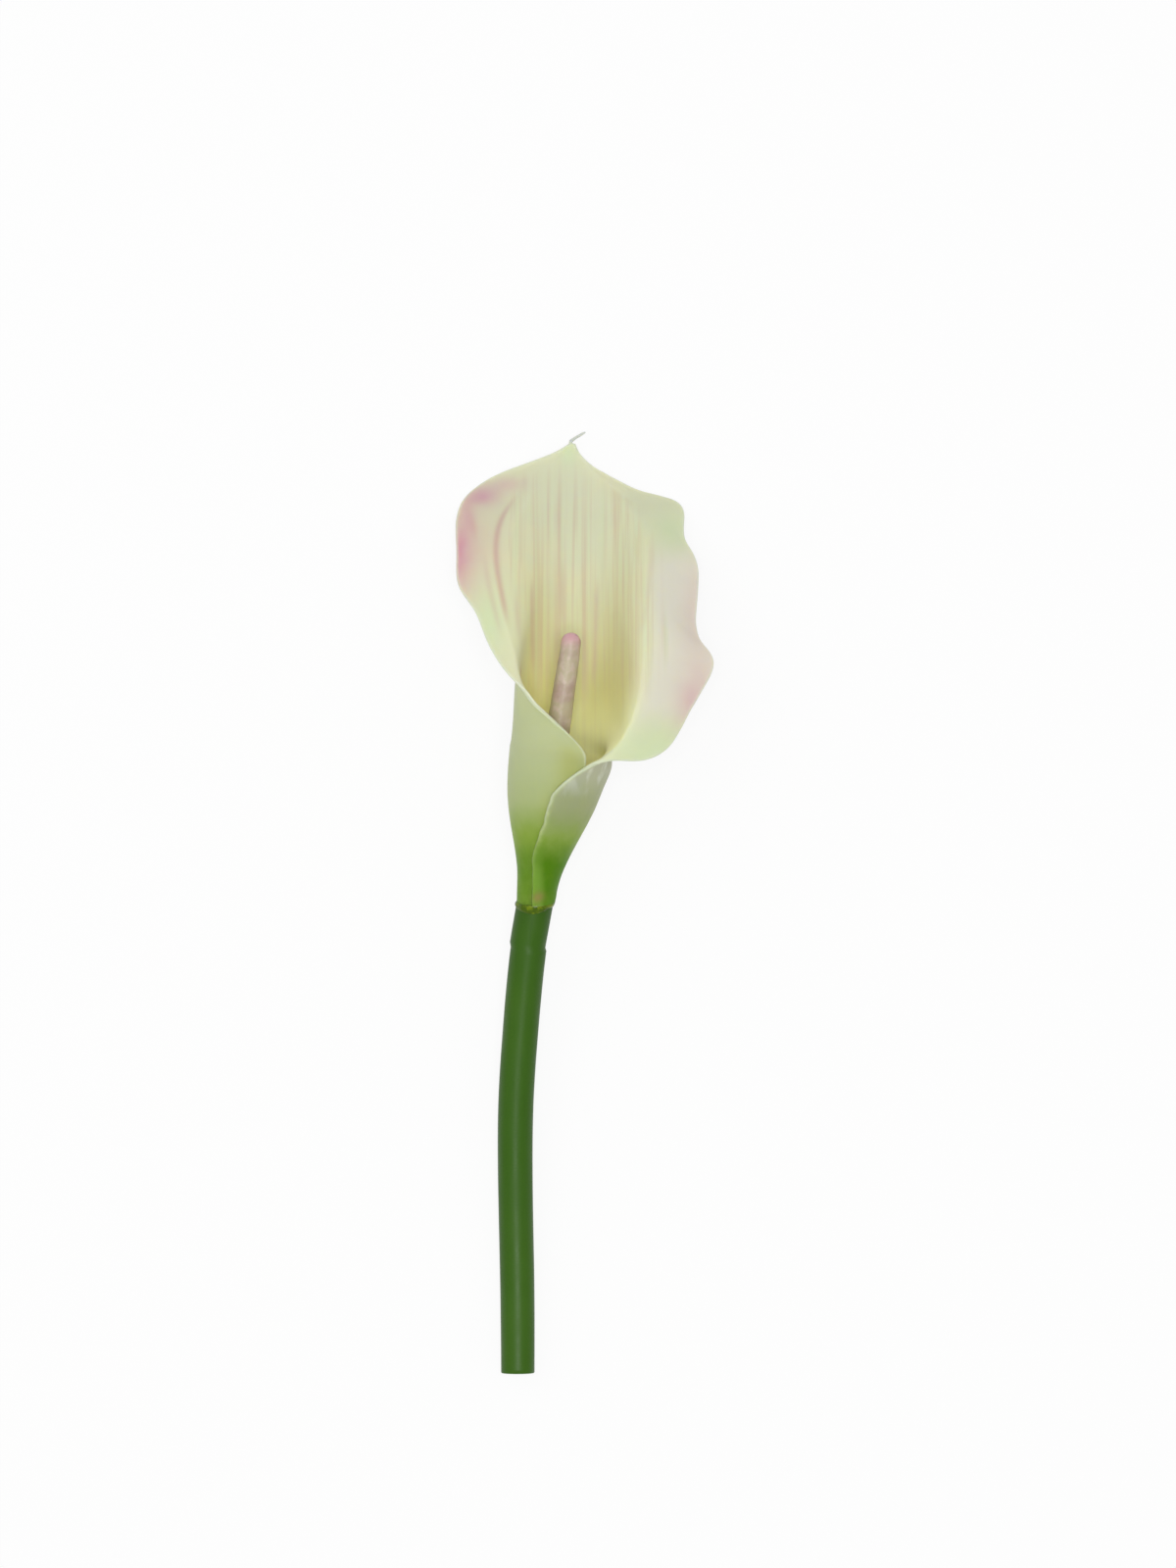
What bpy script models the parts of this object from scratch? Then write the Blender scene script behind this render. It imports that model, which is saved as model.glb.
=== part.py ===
"""Artificial calla lily, lying on its back.

One sheet of soft latex, the spathe, wraps round to make the trumpet. A moulded spadix stands in its
throat and plugs into the top of a plastic stem. A steel wire runs through the stem, and a ring of
glue closes the joint.

X runs across the flower, Y along the stem towards the tip, and Z up from the surface it lies on.
Lengths are in millimetres until to_object() turns them into metres.
"""

import math

import bmesh
import bpy
import numpy as np

MM = 0.001

# ------------------------------------------------------------------ stem
STEM_END_Y = -155.0
STEM_TOP_Y = 0.7
STEM_END_RADIUS = 5.5
STEM_TOP_RADIUS = 5.95
STEM_LIFT = 0.000622  # rise of the centre line per square millimetre from the cut end
# the centre line across the flower, as (y, x)
STEM_SWAY = (
    (-155.0, -21.6),
    (-125.0, -21.8),
    (-90.0, -22.4),
    (-64.0, -22.1),
    (-41.6, -20.6),
    (-16.0, -18.1),
    (1.0, -15.6),
)
SEAT_LENGTH = 3.6  # turned-down top that the glue ring sits on
SEAT_RADIUS = 5.2
SOCKET_DEPTH = 14.0
SOCKET_RADIUS = 2.9
BORE_RADIUS = 1.5
WIRE_RADIUS = 1.2
GAP = 0.3  # between pieces that touch

# ------------------------------------------------------------------ glue ring
RING_HEIGHT = 3.0
RING_RADIUS = 6.25
RING_BULGE = 0.2

# ------------------------------------------------------------------ trumpet axis
NECK = np.array((-15.6, 1.0, 20.63))
AXIS = np.array((0.18, 1.0, 0.196))
AXIS /= np.linalg.norm(AXIS)
ACROSS = np.array((AXIS[1], -AXIS[0], 0.0))
ACROSS /= np.linalg.norm(ACROSS)
FRONT = np.cross(ACROSS, AXIS)

# ------------------------------------------------------------------ spathe
SHEET = 1.2  # thickness of the latex
LAP = 0.85  # how far each panel steps in or out where they overlap
LEFT_KNEE = 120.0  # degrees from the back to where the left panel turns to the front

# the trumpet along its axis, as (y, outer radius, shift across from the straight axis)
TRUMPET = (
    (1.0, 6.1, -0.4),
    (6.4, 6.8, -0.8),
    (12.8, 8.1, -1.2),
    (19.2, 10.2, -1.3),
    (25.6, 12.4, -1.4),
    (32.0, 14.3, -1.3),
    (38.4, 15.7, -1.1),
    (44.8, 16.5, -0.9),
    (48.0, 16.9, -0.8),
)
# Where each panel ends on the front, in degrees to the right of its middle, and where the right
# panel turns to the front, in degrees from the back, as (y, right end, left end, right knee).
SEAM = (
    (1.0, -3.0, 36.0, 118.0),
    (9.0, -9.0, 34.0, 120.0),
    (17.0, -13.0, 34.0, 120.0),
    (25.0, -4.0, 36.0, 122.0),
    (33.0, -1.0, 39.0, 126.0),
    (41.0, 8.0, 39.0, 129.0),
    (48.0, 33.0, 36.0, 132.0),
)

# The open part, row by row from the throat to the tip. The rows of all five lines belong together.
MIDRIB = (
    (-6.6, 55.5, 14.2),
    (-6.0, 62.5, 14.2),
    (-5.3, 70.5, 13.7),
    (-4.7, 79.0, 12.8),
    (-4.3, 88.5, 11.6),
    (-4.1, 98.5, 10.2),
    (-4.0, 108.5, 8.6),
    (-4.0, 118.0, 7.0),
    (-4.0, 126.5, 5.6),
    (-4.0, 133.5, 4.5),
    (-4.0, 139.0, 3.8),
    (-4.0, 143.0, 3.4),
    (-4.0, 146.2, 3.1),
    (-3.9, 148.4, 3.0),
    (-3.8, 150.2, 3.0),
)
RIGHT_FOLD = (
    (7.2, 47.4, 43.6),
    (12.0, 52.0, 44.0),
    (15.8, 60.0, 43.4),
    (18.0, 69.0, 42.0),
    (19.2, 78.5, 39.6),
    (19.6, 88.5, 36.4),
    (19.8, 99.0, 32.0),
    (20.2, 109.0, 26.0),
    (20.8, 117.5, 19.2),
    (21.0, 124.0, 12.4),
    (19.0, 129.2, 6.6),
    (12.5, 134.6, 4.6),
    (5.0, 139.8, 3.8),
    (-0.6, 145.2, 3.4),
    (-3.2, 150.2, 3.0),
)
RIGHT_RIM = (
    (4.8, 45.0, 44.8),
    (10.4, 45.9, 43.8),
    (19.2, 46.0, 41.2),
    (28.2, 51.0, 37.6),
    (35.2, 63.2, 33.4),
    (42.3, 76.9, 28.4),
    (37.7, 85.2, 26.8),
    (37.0, 98.0, 21.2),
    (36.9, 110.6, 14.8),
    (32.9, 119.6, 9.6),
    (31.9, 129.8, 1.0),
    (20.2, 134.2, 2.4),
    (9.6, 138.9, 3.1),
    (0.8, 144.2, 3.2),
    (-2.7, 150.2, 3.0),
)
LEFT_FOLD = (
    (-21.7, 52.0, 38.2),
    (-21.3, 57.0, 39.2),
    (-21.2, 62.5, 40.0),
    (-21.3, 68.5, 40.6),
    (-21.6, 75.5, 39.8),
    (-22.8, 82.5, 36.8),
    (-25.0, 90.5, 32.6),
    (-27.2, 99.0, 27.6),
    (-28.8, 107.5, 22.0),
    (-29.8, 115.5, 16.4),
    (-30.2, 123.0, 10.6),
    (-28.6, 130.6, 5.6),
    (-22.2, 138.6, 3.7),
    (-10.4, 145.4, 3.2),
    (-4.4, 150.2, 3.0),
)
LEFT_RIM = (
    (0.4, 48.4, 46.4),
    (-3.2, 53.0, 48.2),
    (-8.4, 58.0, 49.4),
    (-14.6, 63.3, 48.6),
    (-20.8, 69.8, 44.6),
    (-26.8, 76.8, 38.8),
    (-32.0, 86.2, 32.0),
    (-35.8, 95.2, 26.2),
    (-40.9, 103.2, 20.4),
    (-41.6, 113.8, 14.0),
    (-41.9, 125.2, 6.4),
    (-37.6, 134.2, 1.0),
    (-26.6, 140.9, 1.9),
    (-12.2, 146.2, 2.8),
    (-4.9, 150.2, 3.0),
)
FLOOR_HANDLE = 0.75  # how flat the back of the open part is
WALL_HANDLE = 0.46  # how straight a wall climbs to its fold
LIP_HANDLE = 0.16  # how tightly the lip turns over
LIP_LEAN = 0.45  # 0 keeps a fold pointing up its wall, 1 points it along the lip
WALL_LEAN = 0.3  # how little a wall leans out where it meets its fold
# The left panel stays rolled round for the first open rows, then opens over the next ones.
ROLL_HANDLE = 0.4
ROLLED_ROWS = 1
UNROLLING_ROWS = 2
# Past row TIP_START the rows straighten, and from TIP_ROWS later on they run straight over the fold.
TIP_START = 8
TIP_ROWS = 4
TIP_FLOOR_HANDLE = 0.25
TIP_CLIMB_HANDLE = 0.35
TIP_LIP_HANDLE = 0.3

ROW_COUNT = 36
COLUMN_COUNT = 27  # odd, so that one column runs up the midrib

# thread left on the tip, as (x, y, z, radius)
TAIL = (
    (-3.6, 151.3, 3.1, 0.62),
    (-2.8, 152.4, 3.4, 0.5),
    (-1.4, 153.4, 3.9, 0.45),
    (0.7, 154.3, 4.6, 0.38),
)

# ------------------------------------------------------------------ spadix
# centre line and radius from its foot in the stem to its tip, as (x, y, z, radius)
SPADIX_BODY = (
    (-15.0, 5.0, 21.4, 3.3),
    (-13.3, 18.0, 24.0, 3.4),
    (-11.6, 32.0, 26.7, 3.9),
    (-9.4, 48.0, 29.4, 4.0),
    (-7.4, 62.0, 31.4, 3.8),
    (-5.2, 76.0, 33.0, 3.45),
    (-4.1, 84.4, 33.7, 3.2),
)
PEG_RADIUS = SOCKET_RADIUS - GAP
PEG_LENGTH = 11.5
ROUND_SIDES = 20

MATERIALS = {
    "spathe_latex": ((0.62, 0.66, 0.36), 0.5, 0.0),
    "spadix_latex": ((0.55, 0.42, 0.36), 0.5, 0.0),
    "glue_olive": ((0.08, 0.10, 0.01), 0.25, 0.0),
    "stem_plastic": ((0.05, 0.13, 0.02), 0.45, 0.0),
    "wire_steel": ((0.5, 0.5, 0.5), 0.35, 1.0),
}


def clear_scene():
    for thing in list(bpy.data.objects):
        bpy.data.objects.remove(thing, do_unlink=True)


def material(name):
    colour, roughness, metallic = MATERIALS[name]
    made = bpy.data.materials.new(name)
    made.use_nodes = True
    shader = made.node_tree.nodes["Principled BSDF"]
    shader.inputs["Base Color"].default_value = (*colour, 1.0)
    shader.inputs["Roughness"].default_value = roughness
    shader.inputs["Metallic"].default_value = metallic
    return made


def spline(knots, values, at):
    """Natural cubic spline through values at the knots, read at the given places."""
    knots, values, at = (np.asarray(v, float) for v in (knots, values, at))
    count = len(knots)
    step = np.diff(knots)
    slope = np.diff(values, axis=0) / step.reshape(-1, *[1] * (values.ndim - 1))
    system = np.eye(count)
    right = np.zeros_like(values)
    for i in range(1, count - 1):
        system[i, i - 1 : i + 2] = step[i - 1], 2 * (step[i - 1] + step[i]), step[i]
        right[i] = 6 * (slope[i] - slope[i - 1])
    bend = np.linalg.solve(system, right.reshape(count, -1)).reshape(values.shape)
    cell = np.clip(np.searchsorted(knots, at) - 1, 0, count - 2)
    shape = (-1, *[1] * (values.ndim - 1))
    width = step[cell].reshape(shape)
    after = (at - knots[cell]).reshape(shape)
    before = width - after
    return (
        bend[cell] * before**3 / (6 * width)
        + bend[cell + 1] * after**3 / (6 * width)
        + (values[cell] / width - bend[cell] * width / 6) * before
        + (values[cell + 1] / width - bend[cell + 1] * width / 6) * after
    )


# ------------------------------------------------------------------ spathe surface
def axis_point(y):
    return NECK + AXIS * ((y - NECK[1]) / AXIS[1])


def arc_handle(degrees):
    """Length of a Bezier handle, in radii, that makes an arc of this many degrees."""
    return 4.0 / 3.0 * math.tan(math.radians(degrees) / 4.0)


def trumpet_at(y):
    """Centre and middle radius of the round part at this height."""
    heights, radii, shifts = zip(*TRUMPET)
    radius, shift = spline(heights, np.column_stack((radii, shifts)), [y])[0]
    return axis_point(y) + ACROSS * shift, radius - SHEET / 2


def funnel_half(y, side, knee_turn, end):
    """Six control points of half a funnel section, from beside the midrib to the panel's edge."""
    centre, radius = trumpet_at(y)

    def at(degrees, step):
        turn = math.radians(degrees)
        reach = radius + side * LAP * step
        place = centre + reach * (math.sin(turn) * side * ACROSS - math.cos(turn) * FRONT)
        along = reach * (math.cos(turn) * side * ACROSS + math.sin(turn) * FRONT)
        return place, along

    back, back_along = at(0.0, 0.0)
    knee, knee_along = at(knee_turn, 0.8)
    edge, edge_along = at(end, 1.0)
    wall, lap = arc_handle(knee_turn), arc_handle(end - knee_turn)
    return [
        back + back_along * wall,
        knee - knee_along * wall,
        knee,
        knee + knee_along * lap,
        edge - edge_along * lap,
        edge,
    ]


def open_half(midrib, fold, rim, side, near_tip, roll=0.0):
    """The same six control points for a row of the open part.

    near_tip 1 runs the row straight over its fold, and roll 1 keeps its lip a round arc.
    """
    midrib, fold, rim = (np.array(p, float) for p in (midrib, fold, rim))
    lip = rim - fold
    lip_length = np.linalg.norm(lip)
    climb_way = (fold - midrib) * (WALL_LEAN, WALL_LEAN, 1.0)
    climb_way /= np.linalg.norm(climb_way)
    turn = climb_way * (1.0 - LIP_LEAN) + lip / lip_length * LIP_LEAN
    turn /= np.linalg.norm(turn)
    straight_way = (rim - midrib) / np.linalg.norm(rim - midrib)
    turn += (straight_way - turn) * near_tip
    turn /= np.linalg.norm(turn)
    flat = abs(fold[0] - midrib[0]) * (FLOOR_HANDLE + (TIP_FLOOR_HANDLE - FLOOR_HANDLE) * near_tip)
    climb = max(abs(fold[2] - midrib[2]), abs(fold[0] - midrib[0]) * FLOOR_HANDLE / 2) * WALL_HANDLE
    climb += (np.linalg.norm(fold - midrib) * TIP_CLIMB_HANDLE - climb) * near_tip
    lip_handle = LIP_HANDLE + (ROLL_HANDLE - LIP_HANDLE) * roll
    lip_handle += (TIP_LIP_HANDLE - lip_handle) * near_tip
    over = fold + turn * lip_length * lip_handle
    chord = lip / lip_length
    end_turn = 2.0 * np.dot(turn, chord) * chord - turn
    straight = over + (rim - over) * 0.55
    round_end = rim - end_turn * lip_length * ROLL_HANDLE
    return [
        midrib + side * ACROSS * flat,
        fold - turn * climb,
        fold,
        over,
        straight + (round_end - straight) * roll,
        rim,
    ]


def control_rows():
    """Thirteen control points for each row, from the left edge over the midrib to the right edge."""
    rows = []
    for y, right_end, left_end, right_knee in SEAM:
        right = funnel_half(y, 1, right_knee, 180.0 - right_end)
        left = funnel_half(y, -1, LEFT_KNEE, 180.0 + left_end)
        centre, radius = trumpet_at(y)
        rows.append(left[::-1] + [centre - FRONT * radius] + right)
    open_rows = zip(MIDRIB, RIGHT_FOLD, RIGHT_RIM, LEFT_FOLD, LEFT_RIM)
    for i, (midrib, right_fold, right_rim, left_fold, left_rim) in enumerate(open_rows):
        roll = min(1.0, max(0.0, 1.0 - (i - ROLLED_ROWS) / UNROLLING_ROWS))
        near_tip = min(1.0, max(0.0, (i - TIP_START) / TIP_ROWS))
        right = open_half(midrib, right_fold, right_rim, 1, near_tip)
        left = open_half(midrib, left_fold, left_rim, -1, near_tip, roll)
        rows.append(left[::-1] + [np.array(midrib, float)] + right)
    return np.array(rows)


def across_row(points, at):
    """Places on the four joined Bezier arcs of a row, for at from 0 to 1."""
    place = at * 4
    arc = np.minimum(place.astype(int), 3)
    s = (place - arc)[:, None]
    p = [points[arc * 3 + k] for k in range(4)]
    return (
        p[0] * (1 - s) ** 3 + 3 * p[1] * s * (1 - s) ** 2 + 3 * p[2] * s * s * (1 - s) + p[3] * s**3
    )


def spathe_middle(row_count, column_count):
    """The middle of the sheet as a grid of points, rows from the neck to the tip."""
    controls = control_rows()
    knots = np.arange(len(controls))
    fine = spline(knots, controls, np.linspace(0, knots[-1], row_count))
    at = np.linspace(0, 1, column_count)
    return np.array([across_row(row, at) for row in fine])


def grid_normals(grid):
    """Unit normals of a grid, pointing into the trumpet."""
    across = np.gradient(grid, axis=1)
    along = np.gradient(grid, axis=0)
    normal = np.cross(across, along)
    return normal / np.linalg.norm(normal, axis=2, keepdims=True)


def tail_loops(column_count):
    """Closed loops round the thread at the tip, in the order of the spathe's own loops."""
    loops = []
    centres = np.array([row[:3] for row in TAIL])
    along = np.gradient(centres, axis=0)
    for (x, y, z, radius), direction in zip(TAIL, along):
        direction = direction / np.linalg.norm(direction)
        side = np.cross(direction, (0.0, 0.0, 1.0))
        side /= np.linalg.norm(side)
        up = np.cross(side, direction)
        turn = math.pi * (1.0 + (np.arange(2 * column_count) + 0.5) / column_count)
        ring = np.cos(turn)[:, None] * side + np.sin(turn)[:, None] * up
        loops.append(np.array((x, y, z)) + ring * radius)
    return loops


def loft(loops, caps=True):
    """A bmesh through closed loops of equal length, with its ends closed."""
    mesh = bmesh.new()
    rings = [[mesh.verts.new(point) for point in loop] for loop in loops]
    count = len(rings[0])
    for low, high in zip(rings, rings[1:]):
        for i in range(count):
            j = (i + 1) % count
            mesh.faces.new((low[i], low[j], high[j], high[i]))
    if caps:
        mesh.faces.new(rings[0][::-1])
        mesh.faces.new(rings[-1])
    return mesh, rings


def to_object(name, mesh, material_name, smooth_angle=40.0):
    bmesh.ops.scale(mesh, vec=(MM, MM, MM), verts=mesh.verts)
    bmesh.ops.recalc_face_normals(mesh, faces=mesh.faces)
    data = bpy.data.meshes.new(name)
    mesh.to_mesh(data)
    mesh.free()
    data.materials.append(material(material_name))
    data.shade_smooth()
    data.set_sharp_from_angle(angle=math.radians(smooth_angle))
    made = bpy.data.objects.new(name, data)
    bpy.context.scene.collection.objects.link(made)
    return made


def make_spathe():
    middle = spathe_middle(ROW_COUNT, COLUMN_COUNT)
    offset = grid_normals(middle) * (SHEET / 2)
    outside, inside = middle - offset, middle + offset
    loops = [np.vstack((low, high[::-1])) for low, high in zip(outside, inside)]
    loops += tail_loops(COLUMN_COUNT)
    mesh, rings = loft(loops, caps=False)
    base, count = rings[0], COLUMN_COUNT
    for i in range(count - 1):
        mesh.faces.new((base[i], base[2 * count - 1 - i], base[2 * count - 2 - i], base[i + 1]))
    mesh.faces.new(rings[-1])
    return to_object("spathe", mesh, "spathe_latex")


# ------------------------------------------------------------------ round pieces
def stem_point(y):
    sway_y, sway_x = zip(*STEM_SWAY)
    x = float(spline(sway_y, sway_x, [y])[0])
    return np.array((x, y, STEM_END_RADIUS + STEM_LIFT * (y - STEM_END_Y) ** 2))


def ring_at(centre, direction, radius, sides=ROUND_SIDES):
    direction = direction / np.linalg.norm(direction)
    side = np.cross(direction, (0.0, 0.0, 1.0))
    side /= np.linalg.norm(side)
    up = np.cross(side, direction)
    turn = np.arange(sides) * 2 * math.pi / sides
    return centre + radius * (np.cos(turn)[:, None] * side + np.sin(turn)[:, None] * up)


def stem_ring(y, radius, sides=ROUND_SIDES):
    ahead, behind = stem_point(y + 0.5), stem_point(y - 0.5)
    direction = AXIS if y > STEM_TOP_Y - SOCKET_DEPTH - 1 else ahead - behind
    centre = stem_point(y) if y < STEM_TOP_Y - SOCKET_DEPTH - 1 else axis_point(y)
    return ring_at(centre, direction, radius, sides)


def stem_radius(y):
    share = (y - STEM_END_Y) / (STEM_TOP_Y - STEM_END_Y)
    return STEM_END_RADIUS + (STEM_TOP_RADIUS - STEM_END_RADIUS) * share


def make_stem():
    """The tube: up its outside, over its top, and down through socket and bore."""
    seat_y = STEM_TOP_Y - SEAT_LENGTH
    socket_y = STEM_TOP_Y - SOCKET_DEPTH
    outside = [(y, stem_radius(y)) for y in np.linspace(STEM_END_Y, seat_y, 20)]
    outside += [(seat_y, SEAT_RADIUS), (STEM_TOP_Y, SEAT_RADIUS)]
    bore = [(STEM_TOP_Y, SOCKET_RADIUS), (socket_y, SOCKET_RADIUS)]
    bore += [(y, BORE_RADIUS) for y in np.linspace(socket_y, STEM_END_Y, 18)]
    loops = [stem_ring(y, radius) for y, radius in outside + bore]
    mesh, rings = loft(loops + [loops[0]], caps=False)
    bmesh.ops.remove_doubles(mesh, verts=mesh.verts, dist=1e-6)
    return to_object("stem", mesh, "stem_plastic")


def make_wire():
    top = STEM_TOP_Y - SOCKET_DEPTH - GAP
    loops = [stem_ring(y, WIRE_RADIUS, 10) for y in np.linspace(STEM_END_Y, top, 18)]
    mesh, _ = loft(loops)
    return to_object("stem_wire", mesh, "wire_steel")


def make_ring():
    """A turned bead between the neck and the shoulder of the stem."""
    top = STEM_TOP_Y - 0.1
    bottom = top - RING_HEIGHT
    inner = SEAT_RADIUS + GAP
    profile = [(bottom, inner), (top, inner), (top, RING_RADIUS)]
    for share in (0.7, 0.3):
        profile.append((bottom + RING_HEIGHT * share, RING_RADIUS + RING_BULGE))
    profile.append((bottom, RING_RADIUS))
    loops = [ring_at(axis_point(y), AXIS, radius, 28) for y, radius in profile]
    mesh, rings = loft(loops + [loops[0]], caps=False)
    bmesh.ops.remove_doubles(mesh, verts=mesh.verts, dist=1e-6)
    return to_object("glue_ring", mesh, "glue_olive")


def make_spadix():
    """The peg in the socket, the foot in the neck, and the rod with its round tip."""
    peg_end = axis_point(STEM_TOP_Y - PEG_LENGTH)
    collar = axis_point(STEM_TOP_Y + GAP)
    loops = [
        ring_at(peg_end, AXIS, PEG_RADIUS - 0.6),
        ring_at(axis_point(STEM_TOP_Y - PEG_LENGTH + 0.8), AXIS, PEG_RADIUS),
        ring_at(collar, AXIS, PEG_RADIUS),
        ring_at(collar, AXIS, SPADIX_BODY[0][3]),
    ]
    body = np.array(SPADIX_BODY)
    knots = np.arange(len(body))
    fine = spline(knots, body, np.linspace(0, knots[-1], 15))
    along = np.gradient(fine[:, :3], axis=0)
    loops += [ring_at(row[:3], step, row[3]) for row, step in zip(fine, along)]
    tip, radius = fine[-1, :3], fine[-1, 3]
    ahead = along[-1] / np.linalg.norm(along[-1])
    for degrees in (25, 50, 72):
        turn = math.radians(degrees)
        centre = tip + ahead * radius * math.sin(turn)
        loops.append(ring_at(centre, ahead, radius * math.cos(turn)))
    mesh, _ = loft(loops)
    return to_object("spadix", mesh, "spadix_latex")


def main():
    clear_scene()
    make_spathe()
    make_spadix()
    make_ring()
    make_stem()
    make_wire()


main()
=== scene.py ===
"""Artificial calla lily: its finished surfaces, built round the frame of its solids.

The spathe is lofted from guide lines, the same ones that its solid is made from, with a
beaded rim, a wrinkled front seam, sprayed blushes and streaks. The lengths in the guide lines and
in the other constants are in millimetres.
"""

import math

import bpy
import numpy as np
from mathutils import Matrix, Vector, noise


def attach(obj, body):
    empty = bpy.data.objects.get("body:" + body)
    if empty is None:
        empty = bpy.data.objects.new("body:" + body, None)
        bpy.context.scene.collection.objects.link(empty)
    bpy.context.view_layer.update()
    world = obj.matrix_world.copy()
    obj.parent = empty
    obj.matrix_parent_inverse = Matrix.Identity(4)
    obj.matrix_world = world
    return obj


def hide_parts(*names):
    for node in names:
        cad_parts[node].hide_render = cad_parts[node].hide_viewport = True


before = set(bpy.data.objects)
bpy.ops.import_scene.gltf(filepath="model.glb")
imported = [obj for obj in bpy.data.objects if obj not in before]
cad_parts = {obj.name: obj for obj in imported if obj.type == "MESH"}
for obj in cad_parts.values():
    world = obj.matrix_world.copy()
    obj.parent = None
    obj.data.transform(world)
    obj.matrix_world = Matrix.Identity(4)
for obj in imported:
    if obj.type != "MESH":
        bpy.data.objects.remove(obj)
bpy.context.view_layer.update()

bl_info = {
    "name": "Artificial Calla Lily",
    "version": (1, 0, 0),
    "blender": (4, 5, 0),
    "location": "View3D > Sidebar > Calla Lily",
    "description": "Builds the finished surfaces of an artificial calla lily",
    "category": "Object",
}

MM = 0.001

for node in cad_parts.values():
    node.select_set(False)

# ------------------------------------------------------------------ guide lines of the spathe
NECK = np.array((-15.6, 1.0, 20.63))
AXIS = np.array((0.18, 1.0, 0.196))
AXIS /= np.linalg.norm(AXIS)
ACROSS = np.array((AXIS[1], -AXIS[0], 0.0))
ACROSS /= np.linalg.norm(ACROSS)
FRONT = np.cross(ACROSS, AXIS)
# thickness of the solid's sheet, and how far each panel stands off it where they lap
SHEET = 1.2
LAP = 0.85
LEFT_KNEE = 120.0

# the trumpet along its axis, as (y, outer radius, shift across from the straight axis)
TRUMPET = (
    (1.0, 6.1, -0.4),
    (6.4, 6.8, -0.8),
    (12.8, 8.1, -1.2),
    (19.2, 10.2, -1.3),
    (25.6, 12.4, -1.4),
    (32.0, 14.3, -1.3),
    (38.4, 15.7, -1.1),
    (44.8, 16.5, -0.9),
    (48.0, 16.9, -0.8),
)
# Where each panel ends on the front, in degrees to the right of its middle, and where the right
# panel turns to the front, in degrees from the back, as (y, right end, left end, right knee).
SEAM = (
    (1.0, -3.0, 36.0, 118.0),
    (9.0, -9.0, 34.0, 120.0),
    (17.0, -13.0, 34.0, 120.0),
    (25.0, -4.0, 36.0, 122.0),
    (33.0, -1.0, 39.0, 126.0),
    (41.0, 8.0, 39.0, 129.0),
    (48.0, 33.0, 36.0, 132.0),
)
# The open part, row by row from the throat to the tip. The rows of all five lines belong together.
MIDRIB = (
    (-6.6, 55.5, 14.2),
    (-6.0, 62.5, 14.2),
    (-5.3, 70.5, 13.7),
    (-4.7, 79.0, 12.8),
    (-4.3, 88.5, 11.6),
    (-4.1, 98.5, 10.2),
    (-4.0, 108.5, 8.6),
    (-4.0, 118.0, 7.0),
    (-4.0, 126.5, 5.6),
    (-4.0, 133.5, 4.5),
    (-4.0, 139.0, 3.8),
    (-4.0, 143.0, 3.4),
    (-4.0, 146.2, 3.1),
    (-3.9, 148.4, 3.0),
    (-3.8, 150.2, 3.0),
)
RIGHT_FOLD = (
    (7.2, 47.4, 43.6),
    (12.0, 52.0, 44.0),
    (15.8, 60.0, 43.4),
    (18.0, 69.0, 42.0),
    (19.2, 78.5, 39.6),
    (19.6, 88.5, 36.4),
    (19.8, 99.0, 32.0),
    (20.2, 109.0, 26.0),
    (20.8, 117.5, 19.2),
    (21.0, 124.0, 12.4),
    (19.0, 129.2, 6.6),
    (12.5, 134.6, 4.6),
    (5.0, 139.8, 3.8),
    (-0.6, 145.2, 3.4),
    (-3.2, 150.2, 3.0),
)
RIGHT_RIM = (
    (4.8, 45.0, 44.8),
    (10.4, 45.9, 43.8),
    (19.2, 46.0, 41.2),
    (28.2, 51.0, 37.6),
    (35.2, 63.2, 33.4),
    (42.3, 76.9, 28.4),
    (37.7, 85.2, 26.8),
    (37.0, 98.0, 21.2),
    (36.9, 110.6, 14.8),
    (32.9, 119.6, 9.6),
    (31.9, 129.8, 1.0),
    (20.2, 134.2, 2.4),
    (9.6, 138.9, 3.1),
    (0.8, 144.2, 3.2),
    (-2.7, 150.2, 3.0),
)
LEFT_FOLD = (
    (-21.7, 52.0, 38.2),
    (-21.3, 57.0, 39.2),
    (-21.2, 62.5, 40.0),
    (-21.3, 68.5, 40.6),
    (-21.6, 75.5, 39.8),
    (-22.8, 82.5, 36.8),
    (-25.0, 90.5, 32.6),
    (-27.2, 99.0, 27.6),
    (-28.8, 107.5, 22.0),
    (-29.8, 115.5, 16.4),
    (-30.2, 123.0, 10.6),
    (-28.6, 130.6, 5.6),
    (-22.2, 138.6, 3.7),
    (-10.4, 145.4, 3.2),
    (-4.4, 150.2, 3.0),
)
LEFT_RIM = (
    (0.4, 48.4, 46.4),
    (-3.2, 53.0, 48.2),
    (-8.4, 58.0, 49.4),
    (-14.6, 63.3, 48.6),
    (-20.8, 69.8, 44.6),
    (-26.8, 76.8, 38.8),
    (-32.0, 86.2, 32.0),
    (-35.8, 95.2, 26.2),
    (-40.9, 103.2, 20.4),
    (-41.6, 113.8, 14.0),
    (-41.9, 125.2, 6.4),
    (-37.6, 134.2, 1.0),
    (-26.6, 140.9, 1.9),
    (-12.2, 146.2, 2.8),
    (-4.9, 150.2, 3.0),
)
# lengths of the Bezier handles of an open row, as shares of the stretch that each one bends
FLOOR_HANDLE = 0.75
WALL_HANDLE = 0.46
LIP_HANDLE = 0.16
LIP_LEAN = 0.45
WALL_LEAN = 0.3
# the left panel stays rolled round for the first open rows, then opens over the next ones
ROLL_HANDLE = 0.4
ROLLED_ROWS = 1
UNROLLING_ROWS = 2
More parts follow.
